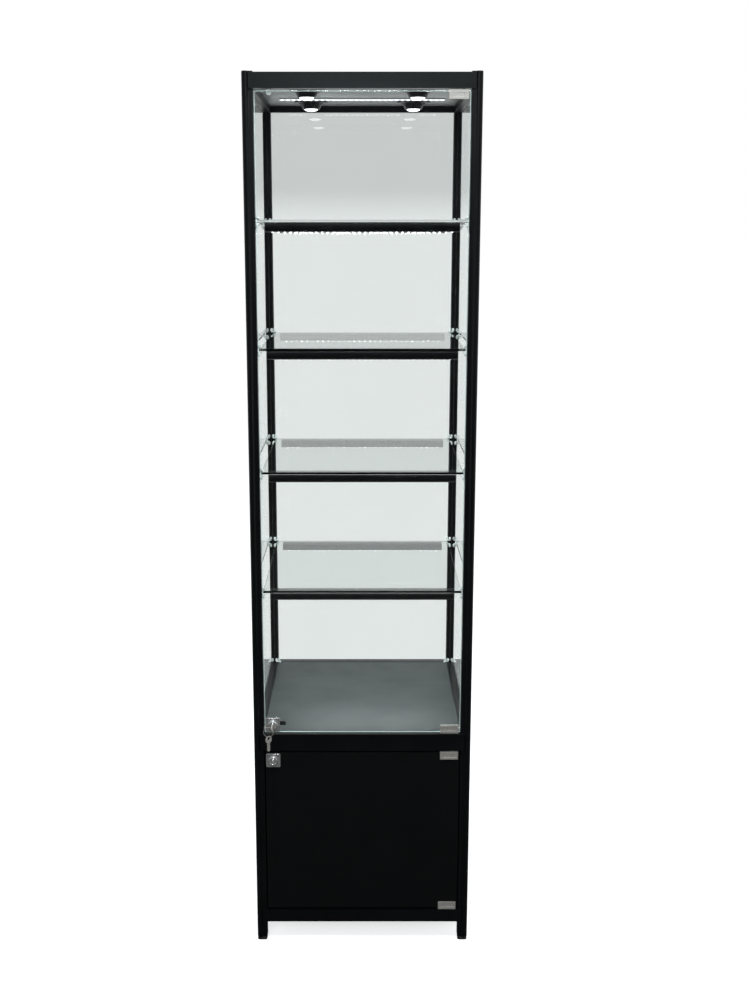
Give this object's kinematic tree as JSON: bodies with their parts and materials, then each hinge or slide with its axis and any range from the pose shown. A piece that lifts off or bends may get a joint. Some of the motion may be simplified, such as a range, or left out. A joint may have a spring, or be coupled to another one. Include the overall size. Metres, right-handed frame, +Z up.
{
  "type": "display cabinet",
  "caption": "Tall glazed display cabinet with lit glass shelves, an inset glass door on pivot clips and a lockable board door to the storage space below.",
  "frame": {"origin": "bottom centre of the whole object's box, on the floor under the feet. The key in the glass door's lock stands 28.8 mm in front of the posts and counts in the box, so the cabinet's own middle lies at Y = +14.4 mm", "axes": "+Z up; the doors face -Y; +X is the viewer's right, the side that both doors are hinged on"},
  "size_m": [0.5, 0.5287, 1.98],
  "materials": {
    "frame_black": "satin black anodised",
    "board_black": "matt black laminate",
    "door_black": "matt black laminate, fine grained",
    "deck_grey": "dark grey textured laminate",
    "ceiling_grey": "pale grey satin laminate",
    "clear_glass": "clear polished float glass",
    "shelf_glass": "clear polished float glass, ground edges",
    "chrome": "bright chrome",
    "steel": "fine brushed",
    "rubber": "matt",
    "lamp_black": "satin black",
    "clear_plastic": "clear glossy",
    "led_lens": "white, lit",
    "driver_white": "off-white"
  },
  "bodies": {
    "frame": {"post_front_left": "frame_black", "post_front_right": "frame_black", "post_back_right": "frame_black", "post_back_left": "frame_black", "foot_front_left": "rubber", "foot_front_right": "rubber", "foot_back_right": "rubber", "foot_back_left": "rubber", "top_rail_front": "frame_black", "top_rail_right": "frame_black", "top_rail_back": "frame_black", "top_rail_left": "frame_black", "middle_rail_front": "frame_black", "middle_rail_right": "frame_black", "middle_rail_back": "frame_black", "middle_rail_left": "frame_black", "bottom_rail_front": "frame_black", "bottom_rail_right": "frame_black", "bottom_rail_back": "frame_black", "bottom_rail_left": "frame_black", "left_glass": "clear_glass", "right_glass": "clear_glass", "back_glass": "clear_glass", "left_panel": "board_black", "right_panel": "board_black", "back_panel": "board_black", "ceiling_board": "ceiling_grey", "deck_board": "deck_grey", "storage_floor": "board_black", "shelf_1": "shelf_glass", "shelf_1_front_light_bar": "frame_black", "shelf_1_rear_light_bar": "frame_black", "shelf_2": "shelf_glass", "shelf_2_front_light_bar": "frame_black", "shelf_2_rear_light_bar": "frame_black", "shelf_3": "shelf_glass", "shelf_3_front_light_bar": "frame_black", "shelf_3_rear_light_bar": "frame_black", "shelf_4": "shelf_glass", "shelf_4_front_light_bar": "frame_black", "shelf_4_rear_light_bar": "frame_black", "ceiling_light_bar": "led_lens", "door_stop": "clear_plastic", "led_driver": "driver_white"},
    "glass_door_leaf": {"glass_door": "clear_glass", "glass_door_clip_top": "steel", "glass_door_clip_bottom": "steel", "glass_door_lock": "chrome"},
    "glass_door_plug": {"glass_door_lock_plug": "chrome", "key_in_lock": "steel"},
    "hanging_keys": {"hanging_key": "steel"},
    "storage_door_leaf": {"storage_door": "door_black", "storage_door_clip_top": "steel", "storage_door_clip_bottom": "steel", "storage_door_lock": "chrome"},
    "storage_door_plug": {"storage_door_lock_plug": "chrome"},
    "lamp_head_front_left": {"lamp_front_left": "lamp_black"},
    "lamp_head_front_right": {"lamp_front_right": "lamp_black"},
    "lamp_head_rear_left": {"lamp_rear_left": "lamp_black"},
    "lamp_head_rear_right": {"lamp_rear_right": "lamp_black"}
  },
  "joints": [
    {"name": "glass_door_swing", "type": "hinge", "parent": "frame", "child": "glass_door_leaf", "pos_m": [0.21, -0.2306, 1.235], "axis": [0, 0, 1], "range_deg": [0, 110]},
    {"name": "storage_door_swing", "type": "hinge", "parent": "frame", "child": "storage_door_leaf", "pos_m": [0.21, -0.2291, 0.2802], "axis": [0, 0, 1], "range_deg": [0, 110]},
    {"name": "glass_lock_turn", "type": "hinge", "parent": "glass_door_leaf", "child": "glass_door_plug", "pos_m": [-0.2057, -0.2356, 0.5469], "axis": [0, 1, 0], "range_deg": [0, 90]},
    {"name": "storage_lock_turn", "type": "hinge", "parent": "storage_door_leaf", "child": "storage_door_plug", "pos_m": [-0.2057, -0.2356, 0.4591], "axis": [0, -1, 0], "range_deg": [0, 90]},
    {"name": "hanging_key_swing", "type": "hinge", "parent": "glass_door_leaf", "child": "hanging_keys", "pos_m": [-0.2057, -0.2581, 0.5469], "axis": [1, 0, 0], "range_deg": [-30, 6]},
    {"name": "lamp_tilt_front_left", "type": "hinge", "parent": "frame", "child": "lamp_head_front_left", "pos_m": [-0.121, -0.0966, 1.9572], "axis": [1, 0, 0], "range_deg": [-15, 15]},
    {"name": "lamp_tilt_front_right", "type": "hinge", "parent": "frame", "child": "lamp_head_front_right", "pos_m": [0.121, -0.0966, 1.9572], "axis": [1, 0, 0], "range_deg": [-15, 15]},
    {"name": "lamp_tilt_rear_left", "type": "hinge", "parent": "frame", "child": "lamp_head_rear_left", "pos_m": [-0.121, 0.1384, 1.9572], "axis": [1, 0, 0], "range_deg": [-15, 15]},
    {"name": "lamp_tilt_rear_right", "type": "hinge", "parent": "frame", "child": "lamp_head_rear_right", "pos_m": [0.121, 0.1384, 1.9572], "axis": [1, 0, 0], "range_deg": [-15, 15]}
  ]
}
